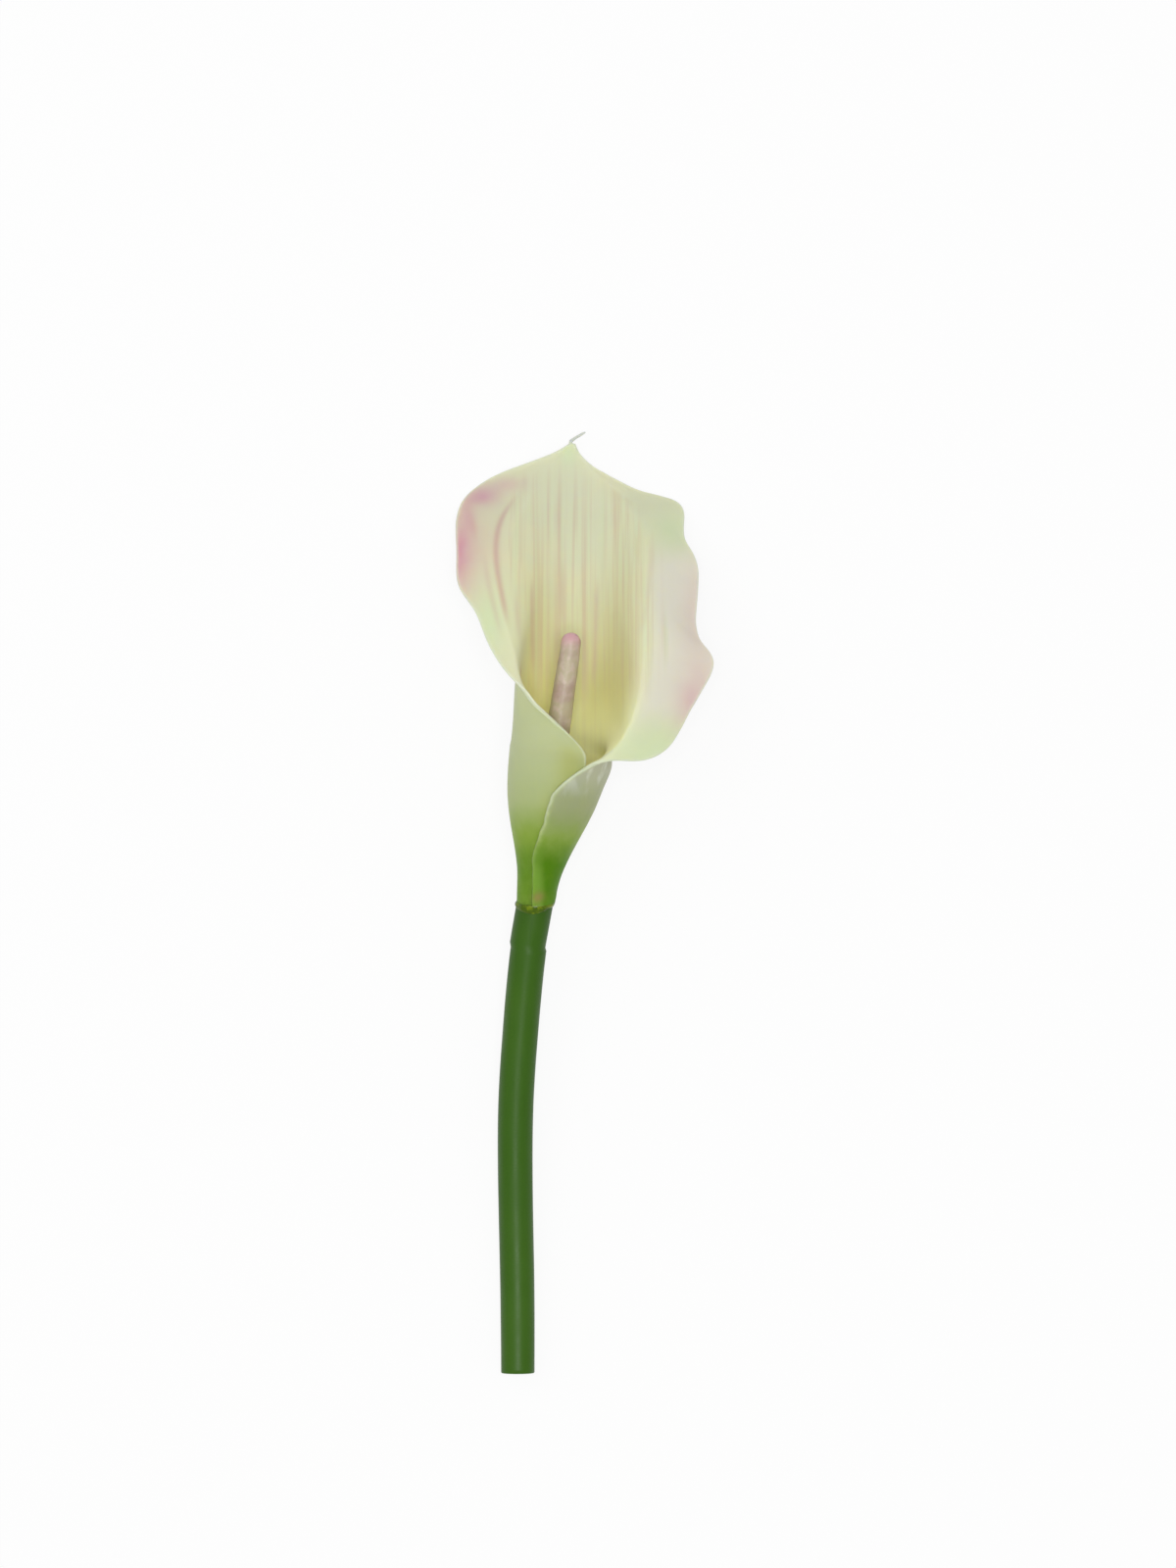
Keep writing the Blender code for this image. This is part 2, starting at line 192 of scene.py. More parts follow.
# past row TIP_START the rows straighten, and from TIP_ROWS later on they run straight over the fold
TIP_START = 8
TIP_ROWS = 4
TIP_FLOOR_HANDLE = 0.25
TIP_CLIMB_HANDLE = 0.35
TIP_LIP_HANDLE = 0.3

# thread left on the tip, as (x, y, z, radius)
TAIL = (
    (-4.3, 150.9, 3.1, 0.62),
    (-3.2, 151.8, 3.4, 0.5),
    (-1.4, 152.9, 3.9, 0.45),
    (0.6, 154.0, 4.6, 0.36),
)

# grid of the sheet; EDGE_COLUMNS of its columns crowd into EDGE_SHARE of each row at both ends
SHEET_ROWS = 200
SHEET_COLUMNS = 184
EDGE_COLUMNS = 12
EDGE_SHARE = 0.022
# the last TAPER_ROWS thin out to the thread by TAPER
TAPER_ROWS = 10
TAPER = 0.2
THREAD_RINGS = 14
THREAD_END = 0.45

# how far the sheet leaves its even loft
WAVE = 0.5
RIM_RIPPLE = 0.3
SEAM_TUCK = 0.36
SEAM_PUCKER = 0.8
SEAM_WANDER = 0.45
NECK_SQUEEZE = 0.14
# where the seam puckers most, as (y, reach, strength)
PUCKERS = ((19.0, 5.0, 1.0), (29.0, 3.0, 0.7))

# sprayed pink strokes: points (x, y) from the top down, then width and strength
STROKES = (
    (((-20.5, 135.0), (-26.4, 126.4), (-28.3, 120.0), (-28.6, 113.6), (-27.7, 105.6), (-26.0, 97.0),
      (-24.4, 88.0)), 1.0, 0.75),
    (((-38.5, 131.5), (-37.0, 126.0), (-36.0, 121.0), (-35.2, 115.0)), 1.2, 0.5),
    (((-32.6, 116.0), (-31.0, 104.0), (-28.6, 94.0), (-26.4, 84.0)), 1.1, 0.3),
    (((-16.9, 108.0), (-16.7, 96.0), (-16.6, 84.0), (-16.2, 72.0)), 0.8, 0.45),
    (((-6.9, 112.0), (-6.9, 102.0), (-6.6, 86.0)), 0.9, 0.35),
    (((4.6, 108.0), (4.2, 98.0), (3.8, 84.0), (3.0, 68.0)), 0.9, 0.45),
    (((-19.6, 144.0), (-19.5, 138.0), (-19.4, 130.0)), 0.9, 0.3),
    (((-8.6, 136.0), (-8.7, 128.0), (-8.8, 116.0)), 0.9, 0.25),
    (((21.6, 122.0), (22.0, 112.0), (21.4, 104.0), (20.2, 95.0), (18.0, 84.0)), 1.1, 0.22),
    (((-22.0, 104.0), (-21.6, 94.0), (-20.4, 82.0)), 0.9, 0.3),
)
# round patches of pink on the lips, as (x, y, spread across, spread along, strength)
BLUSHES = (
    (-41.5, 111.5, 5.5, 13.0, 0.85),
    (-33.0, 133.2, 5.5, 3.4, 0.72),
    (-38.5, 127.5, 3.0, 6.0, 0.35),
    (-25.0, 137.0, 6.0, 2.6, 0.35),
    (-34.0, 118.0, 8.0, 16.0, 0.28),
    (34.5, 63.0, 5.5, 9.0, 0.42),
    (38.5, 74.0, 7.0, 11.0, 0.28),
    (36.5, 95.0, 5.5, 15.0, 0.26),
)

# patches of cooler green, in the same form
COOL_PATCHES = (
    (20.0, 50.0, 15.0, 9.0, 0.9),
    (-31.0, 92.0, 6.0, 12.0, 0.8),
    (30.0, 122.0, 9.0, 8.0, 0.7),
    (-5.0, 148.0, 3.0, 5.0, 0.9),
)
# the stain that the glue left on the front of the neck
STAIN = (-14.6, 2.4, 1.8, 1.6, 0.6)

# centre line and radius of the spadix, as (x, y, z, radius)
SPADIX_BODY = (
    (-15.0, 5.0, 21.4, 3.3),
    (-13.3, 18.0, 24.0, 3.4),
    (-11.6, 32.0, 26.7, 3.9),
    (-9.4, 48.0, 29.4, 4.0),
    (-7.4, 62.0, 31.4, 3.8),
    (-5.2, 76.0, 33.0, 3.45),
    (-4.1, 84.4, 33.7, 3.2),
)
STEM_END_Y = -155.0
STEM_TOP_Y = 0.7
STEM_END_RADIUS = 5.5
STEM_TOP_RADIUS = 5.95
STEM_LIFT = 0.000622
# the stem's centre line across the flower, as (y, x)
STEM_SWAY = (
    (-155.0, -21.6),
    (-125.0, -21.8),
    (-90.0, -22.4),
    (-64.0, -22.1),
    (-41.6, -20.6),
    (-16.0, -18.1),
    (1.0, -15.6),
)
SEAT_RADIUS = 5.2
SOCKET_DEPTH = 14.0
SOCKET_RADIUS = 2.9
BORE_RADIUS = 1.5
WIRE_RADIUS = 1.2
GAP = 0.3
PEG_LENGTH = 11.5
PEG_TAPER = 0.6
# from here up the stem is straight, along the flower's axis
STRAIGHT_FROM_Y = STEM_TOP_Y - SOCKET_DEPTH - 1.0
STEM_CHAMFER = 0.25
WIRE_CHAMFER = 0.15
STEM_SIDES = 64
WIRE_SIDES = 24
SPADIX_SIDES = 56
GLUE_SIDES = 120
# rise of the joint's plane for each millimetre across, and how far the neck and the stem's
# shoulder stand below the joint of the solids
JOINT_SLANT = 0.21
NECK_DROP = 1.2
SHOULDER = 1.7

# the glue bead: how far it laps on the neck, how far it runs down, and how much more in front
GLUE_LAP = 0.35
GLUE_DROP = 1.5
GLUE_FRONT_DROP = 1.5
GLUE_RAGGED = 0.35
GLUE_LUMP = 0.12
# its section from the top down, as (share of the drop, radius), closed inside the joint
GLUE_SECTION = (
    (0.0, 5.6),
    (0.0, 6.32),
    (0.12, 6.42),
    (0.35, 6.46),
    (0.6, 6.4),
    (0.85, 6.25),
    (1.0, 6.05),
    (1.02, 5.6),
)


# ------------------------------------------------------------------ curves and surfaces
def spline(knots, values, at):
    """Natural cubic spline through values at the knots, read at the given places."""
    knots, values, at = (np.asarray(v, float) for v in (knots, values, at))
    count = len(knots)
    step = np.diff(knots)
    slope = np.diff(values, axis=0) / step.reshape(-1, *[1] * (values.ndim - 1))
    system = np.eye(count)
    right = np.zeros_like(values)
    for i in range(1, count - 1):
        system[i, i - 1 : i + 2] = step[i - 1], 2 * (step[i - 1] + step[i]), step[i]
        right[i] = 6 * (slope[i] - slope[i - 1])
    bend = np.linalg.solve(system, right.reshape(count, -1)).reshape(values.shape)
    cell = np.clip(np.searchsorted(knots, at) - 1, 0, count - 2)
    shape = (-1, *[1] * (values.ndim - 1))
    width = step[cell].reshape(shape)
    after = (at - knots[cell]).reshape(shape)
    before = width - after
    return (
        bend[cell] * before**3 / (6 * width)
        + bend[cell + 1] * after**3 / (6 * width)
        + (values[cell] / width - bend[cell] * width / 6) * before
        + (values[cell + 1] / width - bend[cell + 1] * width / 6) * after
    )


def axis_point(y):
    return NECK + AXIS * ((y - NECK[1]) / AXIS[1])


def at_joint(points, drop=0.0):
    """Points with the joint's plane set level across the stem, and moved down by drop."""
    points = np.array(points, float)
    near = 1 - ramp(np.abs(points[..., 1]), 3.0, 12.0)
    climb = near * (JOINT_SLANT * (points[..., 0] - NECK[0]) - drop)
    return points + climb[..., None] * AXIS


def arc_handle(degrees):
    """Length of a Bezier handle, in radii, that makes an arc of this many degrees."""
    return 4.0 / 3.0 * math.tan(math.radians(degrees) / 4.0)


def trumpet_at(y):
    """Centre and middle radius of the round part at this height."""
    heights, radii, shifts = zip(*TRUMPET)
    radius, shift = spline(heights, np.column_stack((radii, shifts)), [y])[0]
    return axis_point(y) + ACROSS * shift, radius - SHEET / 2


def funnel_half(y, side, knee_turn, end):
    """Six control points of half a funnel section, from beside the midrib to the panel's edge."""
    centre, radius = trumpet_at(y)

    def at(degrees, step):
        turn = math.radians(degrees)
        reach = radius + side * LAP * step
        place = centre + reach * (math.sin(turn) * side * ACROSS - math.cos(turn) * FRONT)
        along = reach * (math.cos(turn) * side * ACROSS + math.sin(turn) * FRONT)
        return place, along

    back, back_along = at(0.0, 0.0)
    knee, knee_along = at(knee_turn, 0.8)
    edge, edge_along = at(end, 1.0)
    wall, lap = arc_handle(knee_turn), arc_handle(end - knee_turn)
    return [
        back + back_along * wall,
        knee - knee_along * wall,
        knee,
        knee + knee_along * lap,
        edge - edge_along * lap,
        edge,
    ]


def open_half(midrib, fold, rim, side, near_tip, roll=0.0):
    """The same six control points for a row of the open part.

    near_tip 1 runs the row straight over its fold, and roll 1 keeps its lip a round arc.
    """
    midrib, fold, rim = (np.array(p, float) for p in (midrib, fold, rim))
    lip = rim - fold
    lip_length = np.linalg.norm(lip)
    climb_way = (fold - midrib) * (WALL_LEAN, WALL_LEAN, 1.0)
    climb_way /= np.linalg.norm(climb_way)
    turn = climb_way * (1.0 - LIP_LEAN) + lip / lip_length * LIP_LEAN
    turn /= np.linalg.norm(turn)
    straight_way = (rim - midrib) / np.linalg.norm(rim - midrib)
    turn += (straight_way - turn) * near_tip
    turn /= np.linalg.norm(turn)
    flat = abs(fold[0] - midrib[0]) * (FLOOR_HANDLE + (TIP_FLOOR_HANDLE - FLOOR_HANDLE) * near_tip)
    climb = max(abs(fold[2] - midrib[2]), abs(fold[0] - midrib[0]) * FLOOR_HANDLE / 2) * WALL_HANDLE
    climb += (np.linalg.norm(fold - midrib) * TIP_CLIMB_HANDLE - climb) * near_tip
    lip_handle = LIP_HANDLE + (ROLL_HANDLE - LIP_HANDLE) * roll
    lip_handle += (TIP_LIP_HANDLE - lip_handle) * near_tip
    over = fold + turn * lip_length * lip_handle
    chord = lip / lip_length
    end_turn = 2.0 * np.dot(turn, chord) * chord - turn
    straight = over + (rim - over) * 0.55
    round_end = rim - end_turn * lip_length * ROLL_HANDLE
    return [
        midrib + side * ACROSS * flat,
        fold - turn * climb,
        fold,
        over,
        straight + (round_end - straight) * roll,
        rim,
    ]


def control_rows():
    """Thirteen control points for each row, from the left edge over the midrib to the right edge."""
    rows = []
    for y, right_end, left_end, right_knee in SEAM:
        right = funnel_half(y, 1, right_knee, 180.0 - right_end)
        left = funnel_half(y, -1, LEFT_KNEE, 180.0 + left_end)
        centre, radius = trumpet_at(y)
        rows.append(left[::-1] + [centre - FRONT * radius] + right)
    open_rows = zip(MIDRIB, RIGHT_FOLD, RIGHT_RIM, LEFT_FOLD, LEFT_RIM)
    for i, (midrib, right_fold, right_rim, left_fold, left_rim) in enumerate(open_rows):
        roll = min(1.0, max(0.0, 1.0 - (i - ROLLED_ROWS) / UNROLLING_ROWS))
        near_tip = min(1.0, max(0.0, (i - TIP_START) / TIP_ROWS))
        right = open_half(midrib, right_fold, right_rim, 1, near_tip)
        left = open_half(midrib, left_fold, left_rim, -1, near_tip, roll)
        rows.append(left[::-1] + [np.array(midrib, float)] + right)
    return np.array(rows)


def across_row(points, at):
    """Places on the four joined Bezier arcs of a row, for at from 0 to 1."""
    place = at * 4
    arc = np.minimum(place.astype(int), 3)
    s = (place - arc)[:, None]
    p = [points[arc * 3 + k] for k in range(4)]
    return (
        p[0] * (1 - s) ** 3 + 3 * p[1] * s * (1 - s) ** 2 + 3 * p[2] * s * s * (1 - s) + p[3] * s**3
    )


def grid_normals(grid):
    """Unit normals of a grid, pointing into the trumpet."""
    across = np.gradient(grid, axis=1)
    along = np.gradient(grid, axis=0)
    normal = np.cross(across, along)
    return normal / np.linalg.norm(normal, axis=2, keepdims=True)


def soft_noise(points, scale, offset=0.0):
    """Smooth noise from -1 to 1 at each point, for points in millimetres."""
    flat = np.asarray(points, float).reshape(-1, 3) * scale + offset
    values = np.array([noise.noise(Vector(p)) for p in flat])
    return values.reshape(np.shape(points)[:-1])


def bump(value, centre, width):
    """A bell of height 1 at the centre."""
    return np.exp(-(((value - centre) / width) ** 2))


def ramp(value, start, end):
    """0 before start and 1 after end, smooth between."""
    share = np.clip((value - start) / (end - start), 0.0, 1.0)
    return share * share * (3 - 2 * share)


# ------------------------------------------------------------------ shared modelling steps
def rings_along(centres, radii, sides, direction=None, start=0.0):
    """Rings of points round a centre line, the first point of each turned by start."""
    centres = np.asarray(centres, float)
    along = np.gradient(centres, axis=0) if direction is None else np.tile(direction, (len(centres), 1))
    along = along / np.linalg.norm(along, axis=1, keepdims=True)
    side = np.cross(along, (0.0, 0.0, 1.0))
    side /= np.linalg.norm(side, axis=1, keepdims=True)
    up = np.cross(side, along)
    turn = start + np.arange(sides) * 2 * math.pi / sides
    ring = np.cos(turn)[None, :, None] * side[:, None] + np.sin(turn)[None, :, None] * up[:, None]
    radii = np.broadcast_to(np.asarray(radii, float).reshape(len(centres), -1), (len(centres), sides))
    return centres[:, None] + ring * radii[..., None]


def loft_tube(name, rings, attributes=None, caps=True):
    """A grid primitive bent into a tube through rings of points, its side seam and ends closed."""
    rings = np.asarray(rings, float)
    rows, sides = rings.shape[:2]
    bpy.ops.mesh.primitive_grid_add(x_subdivisions=sides, y_subdivisions=rows - 1, size=1.0)
    tube = bpy.context.object
    tube.name = tube.data.name = name
    wrapped = np.concatenate((rings, rings[:, :1]), axis=1) * MM
    tube.data.vertices.foreach_set("co", wrapped.reshape(-1))
    for key, values in (attributes or {}).items():
        layer = tube.data.attributes.new(key, "FLOAT", "POINT")
        values = np.concatenate((values, values[:, :1]), axis=1)
        layer.data.foreach_set("value", values.reshape(-1).astype(np.float32))
    bpy.ops.object.mode_set(mode="EDIT")
    bpy.ops.mesh.select_all(action="SELECT")
    bpy.ops.mesh.remove_doubles(threshold=1e-7)
    if caps:
        bpy.ops.mesh.select_all(action="DESELECT")
        bpy.ops.mesh.select_mode(type="EDGE")
        bpy.ops.mesh.select_non_manifold(extend=False, use_wire=False, use_multi_face=False)
        bpy.ops.mesh.edge_face_add()
        bpy.ops.mesh.select_mode(type="VERT")
    bpy.ops.mesh.select_all(action="SELECT")
    bpy.ops.mesh.normals_make_consistent(inside=False)
    bpy.ops.object.mode_set(mode="OBJECT")
    bpy.ops.object.transform_apply(location=True, rotation=True, scale=True)
    bpy.ops.object.shade_smooth_by_angle(angle=math.radians(50))
    return tube


def settle(piece, node, slot_name, *materials):
    """Gives a finished piece its materials and its body, and hides the solid that it stands for."""
    for made in materials:
        piece.data.materials.append(made)
    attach(piece, "root")
    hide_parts(node)
    piece.select_set(False)
    return piece


# ------------------------------------------------------------------ shader helpers
def linear(colour):
    """Scene-linear values of a colour picked on screen."""
    return tuple(c / 12.92 if c <= 0.04045 else ((c + 0.055) / 1.055) ** 2.4 for c in colour)


BUMP_STRENGTH = 0.6


class Nodes:
    """Short calls for building one material's node tree."""

    def __init__(self, name, settings):
        self.settings = settings
        self.material = bpy.data.materials.new(name)
        self.material.use_nodes = True
        self.tree = self.material.node_tree
        self.shader = self.tree.nodes["Principled BSDF"]

    def add(self, kind, **values):
        made = self.tree.nodes.new(kind)
        for key, value in values.items():
            if key in made.inputs:
                made.inputs[key].default_value = value
            else:
                setattr(made, key, value)
        return made

    def link(self, source, target):
        self.tree.links.new(source, target)

    def value(self, name):
        """A mask stored on the mesh."""
        return self.add("ShaderNodeAttribute", attribute_name=name).outputs["Fac"]

    def noise(self, vector, scale, detail=3.0, rough=0.5):
        made = self.add("ShaderNodeTexNoise", Scale=scale, Detail=detail, Roughness=rough)
        self.link(vector, made.inputs["Vector"])
        return made.outputs["Fac"]

    def stretch(self, vector, scale, location=(0, 0, 0)):
        made = self.add("ShaderNodeMapping")
        made.inputs["Scale"].default_value = scale
        made.inputs["Location"].default_value = location
        self.link(vector, made.inputs["Vector"])
        return made.outputs["Vector"]

    def spread(self, value, low, high, to_low=0.0, to_high=1.0):
        made = self.add("ShaderNodeMapRange", interpolation_type="SMOOTHSTEP")
        ends = {"From Min": low, "From Max": high, "To Min": to_low, "To Max": to_high}
        for key, number in ends.items():
            made.inputs[key].default_value = number
        self.link(value, made.inputs["Value"])
        return made.outputs["Result"]

    def maths(self, operation, first, second):
        made = self.add("ShaderNodeMath", operation=operation)
        for socket, item in zip(made.inputs, (first, second)):
            if isinstance(item, (int, float)):
                socket.default_value = item
            else:
                self.link(item, socket)
        return made.outputs["Value"]

    def tint(self, base, colour, amount):
        """base with colour over it by amount; each is a socket or the name of a setting."""
        made = self.add("ShaderNodeMix", data_type="RGBA", clamp_factor=True)
        self.link(amount, made.inputs["Factor"])
        ends = [socket for socket in made.inputs if socket.type == "RGBA"]
        for socket, item in zip(ends, (base, colour)):
            if isinstance(item, str):
                socket.default_value = (*linear(getattr(self.settings, item)), 1.0)
            else:
                self.link(item, socket)
        return next(socket for socket in made.outputs if socket.type == "RGBA")

    def finish(self, colour, roughness, height, distance, **constants):
        """Wires colour, roughness and bump into the shader and sets its plain values."""
        self.link(colour, self.shader.inputs["Base Color"])
        if isinstance(roughness, float):
            self.shader.inputs["Roughness"].default_value = roughness
        else:
            self.link(roughness, self.shader.inputs["Roughness"])
        relief = self.add("ShaderNodeBump")
        relief.inputs["Strength"].default_value = BUMP_STRENGTH
        relief.inputs["Distance"].default_value = distance
        self.link(height, relief.inputs["Height"])
        self.link(relief.outputs["Normal"], self.shader.inputs["Normal"])
        for key, number in constants.items():
            self.shader.inputs[key].default_value = number
        return self.material


def latex_material(settings):
    """Sprayed latex: cream, green at the neck, yellow in the throat, pink at the lips, with painted
    shade and light.
    """
    n = Nodes("latex_spathe", settings)
    place = n.add("ShaderNodeTexCoord").outputs["Object"]
    cloud = n.noise(place, 60.0, 2.0)

    def uneven(mask, most=1.15):
        return n.maths("MULTIPLY", n.value(mask), n.spread(cloud, 0.3, 0.7, 0.8, most))

    colour = n.tint("latex", "latex_warm", n.spread(cloud, 0.45, 0.75, 0.0, 0.5))
    # partly painted light: the right lip is a whiter cream, made paler still for the light it catches
    colour = n.tint(colour, "pale_and_lit_lip", n.value("pale_and_lit_lip"))
    colour = n.tint(colour, "latex_cool", uneven("cool"))
    colour = n.tint(colour, "outer", n.value("outside"))
    colour = n.tint(colour, "outer_low", n.value("low_outside"))
    # painted shade: the outside of the right panel is darker low down and at its top, as if the light
    # came from the left
    colour = n.tint(colour, "outer_painted_shade", n.maths("MULTIPLY", n.value("painted_shade_side"), 0.6))
    colour = n.tint(colour, "outer_painted_shade_top", n.value("painted_shade_top"))
    # painted highlights: paler streaks over the top of the right panel, for light catching its creases
    crease = n.noise(n.stretch(place, (300.0, 90.0, 300.0), (5.3, 0.0, 0.0)), 1.0, 3.0)
    painted_sheen = n.maths("MULTIPLY", n.spread(crease, 0.46, 0.66, 0.0, 0.6), n.value("painted_shade_top"))
    colour = n.tint(colour, "outer_painted_sheen", painted_sheen)
    colour = n.tint(colour, "throat", n.value("throat"))
    # partly painted light: the bottom of the throat is yellow latex, lifted to near full brightness to
    # stand in for light that its shade keeps out
    colour = n.tint(colour, "deep", n.value("deep"))
    area = n.value("streak_area")
    fine = n.noise(n.stretch(place, (900.0, 12.0, 40.0)), 1.0, 3.0)
    broad = n.noise(n.stretch(place, (330.0, 8.0, 20.0), (3.1, 0.0, 0.0)), 1.0, 2.0)
    pale = n.noise(n.stretch(place, (420.0, 7.0, 20.0), (9.7, 0.0, 0.0)), 1.0, 2.0)
    for lines, low, high, ink, share in (
        (fine, 0.46, 0.70, "streak", 0.55),
        (broad, 0.47, 0.72, "streak", 0.8),
        (pale, 0.50, 0.76, "streak_pale", 0.6),
    ):
        amount = n.maths("MULTIPLY", n.spread(lines, low, high, 0.0, share), area)
        colour = n.tint(colour, ink, n.maths("MULTIPLY", amount, settings.streak_strength))
    colour = n.tint(colour, "stroke", n.value("stroke"))
    colour = n.tint(colour, "blush", uneven("blush"))
    # painted shade: a darker yellow band on the left panel next to the seam, for the shadow and yellow
    # bounce light where the right panel laps over it
    colour = n.tint(colour, "painted_seam_shade", n.maths("MULTIPLY", n.value("painted_seam_shade"), 0.6))
    ragged = n.maths("MULTIPLY", n.maths("SUBTRACT", n.noise(place, 220.0, 3.0), 0.5), 0.5)
    for green in ("neck_fade", "neck"):
        edge = n.maths("MULTIPLY", ragged, n.spread(n.value(green), 0.0, 0.4))
        colour = n.tint(colour, green, n.maths("ADD", n.value(green), edge))
    colour = n.tint(colour, "seam_strip", n.value("seam_strip"))
    colour = n.tint(colour, "seam_edge", n.maths("MULTIPLY", n.value("seam_edge"), 0.4))
    colour = n.tint(colour, "stain", n.value("stain"))
    colour = n.tint(colour, "rim", n.value("rim"))
    colour = n.tint(colour, "thread", n.value("tail"))
    grain = n.noise(place, 2600.0, 2.0)
    height = n.maths("ADD", n.maths("MULTIPLY", grain, 0.25), n.maths("MULTIPLY", fine, 0.5))
    rough = n.spread(n.noise(place, 160.0), 0.3, 0.7, 0.44, 0.58)
    return n.finish(
        colour,
        rough,
        height,
        0.0001,
        **{
            "Subsurface Weight": settings.glow_through,
            "Subsurface Scale": 0.006,
            "Subsurface Radius": (1.0, 0.9, 0.55),
            "Specular IOR Level": 0.14,
            "Sheen Weight": 0.12,
            "Sheen Roughness": 0.35,
        },
    )


def spadix_material(settings):
    n = Nodes("latex_spadix", settings)
    place = n.add("ShaderNodeTexCoord").outputs["Object"]
    mottle = n.noise(place, 330.0, 3.0, 0.6)
    patch = n.noise(place, 120.0, 2.0)
    colour = n.tint("spadix", "spadix_mottle", n.spread(mottle, 0.45, 0.62, 0.0, 0.9))
    colour = n.tint(colour, "spadix_dusk", n.spread(patch, 0.46, 0.66, 0.0, 0.7))
    colour = n.tint(colour, "spadix_tip", n.value("tip"))
    colour = n.tint(colour, "spadix_foot", n.value("foot"))
    grain = n.maths("ADD", n.noise(place, 1400.0, 2.0), n.maths("MULTIPLY", mottle, 1.5))
    return n.finish(
        colour, 0.42, grain, 0.0002,
        **{"Subsurface Weight": 0.2, "Subsurface Scale": 0.0015, "Subsurface Radius": (1.0, 0.6, 0.5)},
    )


def stem_material(settings):
    n = Nodes("plastic_stem", settings)
    place = n.add("ShaderNodeTexCoord").outputs["Object"]
    along = n.stretch(place, (900.0, 14.0, 900.0))
    lines = n.noise(along, 1.0, 2.0)
    patch = n.noise(place, 26.0, 2.0)
    colour = n.tint("stem", "stem_light", n.spread(patch, 0.35, 0.7, 0.0, 0.7))
    colour = n.tint(colour, "stem_lines", n.spread(lines, 0.5, 0.8, 0.0, 0.35))
    colour = n.tint(colour, "stem_top", n.value("top"))
    colour = n.tint(colour, "stem_cut", n.value("cut"))
    height = n.maths("ADD", n.maths("MULTIPLY", lines, 0.5), n.noise(place, 1900.0, 2.0))
    rough = n.spread(n.noise(place, 90.0), 0.3, 0.7, 0.34, 0.46)
    return n.finish(colour, rough, height, 0.00005, **{"Specular IOR Level": 0.22})


def glue_material(settings):
    n = Nodes("glue_olive", settings)
    place = n.add("ShaderNodeTexCoord").outputs["Object"]
    lump = n.noise(place, 420.0, 2.0)
    # painted highlight and painted shade: lighter yellow and darker olive spots over the glue, lit and
    # shaded copies of its colour
    colour = n.tint("glue", "glue_painted_highlight", n.spread(lump, 0.44, 0.66, 0.0, 0.9))
    colour = n.tint(colour, "glue_painted_shade", n.spread(n.noise(place, 260.0), 0.5, 0.75, 0.0, 0.7))
    return n.finish(
        colour, 0.2, n.noise(place, 700.0, 3.0), 0.0004,
        **{"Coat Weight": 0.15, "Coat Roughness": 0.15, "Specular IOR Level": 0.2},
    )


def steel_material(settings):
    n = Nodes("steel_wire", settings)
    place = n.add("ShaderNodeTexCoord").outputs["Object"]
    scratch = n.noise(n.stretch(place, (2500.0, 60.0, 2500.0)), 1.0, 3.0)
    colour = n.tint("wire", "wire_scratch", n.spread(scratch, 0.4, 0.75))
    return n.finish(
        colour, n.spread(scratch, 0.3, 0.7, 0.28, 0.5), scratch, 0.00005, **{"Metallic": 1.0}
    )


# ------------------------------------------------------------------ spathe
def sheet_profile(inset, thickness, bead):
    """Half thickness at a distance in from the edge: a round edge, a bead, then an even sheet."""
    half = thickness / 2
    body = half + bead * bump(inset, 1.0, 0.8)
    rounding = np.sqrt(np.clip(1 - (1 - np.clip(inset / half, 0, 1)) ** 2, 0.0, 1.0))
    return body * np.maximum(rounding, 0.02)


def edge_distances(grid):
    """Distance along each row from its left end and from its right end, in millimetres."""
    steps = np.linalg.norm(np.diff(grid, axis=1), axis=2)
    from_left = np.concatenate((np.zeros((len(grid), 1)), np.cumsum(steps, axis=1)), axis=1)
    return from_left, from_left[:, -1:] - from_left


def spathe_grid(rows, columns):
    """The sheet's middle, and each point's place across, from 0 at the left edge to 1."""
    controls = control_rows()
    knots = np.arange(len(controls))
    fine = spline(knots, controls, np.linspace(0, knots[-1], rows))
    # columns crowd towards both edges, where the rim bead needs them
    last = columns - 1
    turns = (0, EDGE_COLUMNS, last - EDGE_COLUMNS, last)
    at = np.interp(np.arange(columns), turns, (0, EDGE_SHARE, 1 - EDGE_SHARE, 1))
    return np.array([across_row(row, at) for row in fine]), at


def spathe_relief(middle):
    """Moves the sheet out of its perfect loft: faint waves, rim ripples and a puckered seam."""
    y = middle[..., 1]
    from_left, from_right = edge_distances(middle)
    nearest = np.minimum(from_left, from_right)
    normal = grid_normals(middle)
    wave = soft_noise(middle, 0.045, 4.0) * WAVE * ramp(y, 50.0, 80.0)
    near_rim = bump(nearest, 0.0, 9.0) * ramp(y, 46.0, 60.0)
    ripple = soft_noise(middle, 0.16, 11.0) * RIM_RIPPLE * near_rim
    on_seam = 1 - ramp(y, 36.0, 46.0)
    tuck = SEAM_TUCK * bump(from_right, 0.0, 1.3) * on_seam
    fold = soft_noise(middle * (0.5, 1.0, 0.5), 0.8, 7.0)
    where = sum(bump(y, centre, reach) * strength for centre, reach, strength in PUCKERS)
    where = where + 0.5 * (1 - ramp(y, 8.0, 12.0))
    pucker = fold * SEAM_PUCKER * where * bump(from_right, 0.6, 1.5) * on_seam
    squeeze = NECK_SQUEEZE * (1 - ramp(y, 1.4, 3.6))
    outward = wave + ripple + tuck + pucker - squeeze
    wander = soft_noise(middle * (0.0, 1.0, 0.0), 0.33, 21.0) * SEAM_WANDER
    wander = wander * bump(from_right, 0.0, 3.0) * on_seam * ramp(y, 8.0, 14.0)
    return middle + normal * outward[..., None] + wander[..., None] * ACROSS


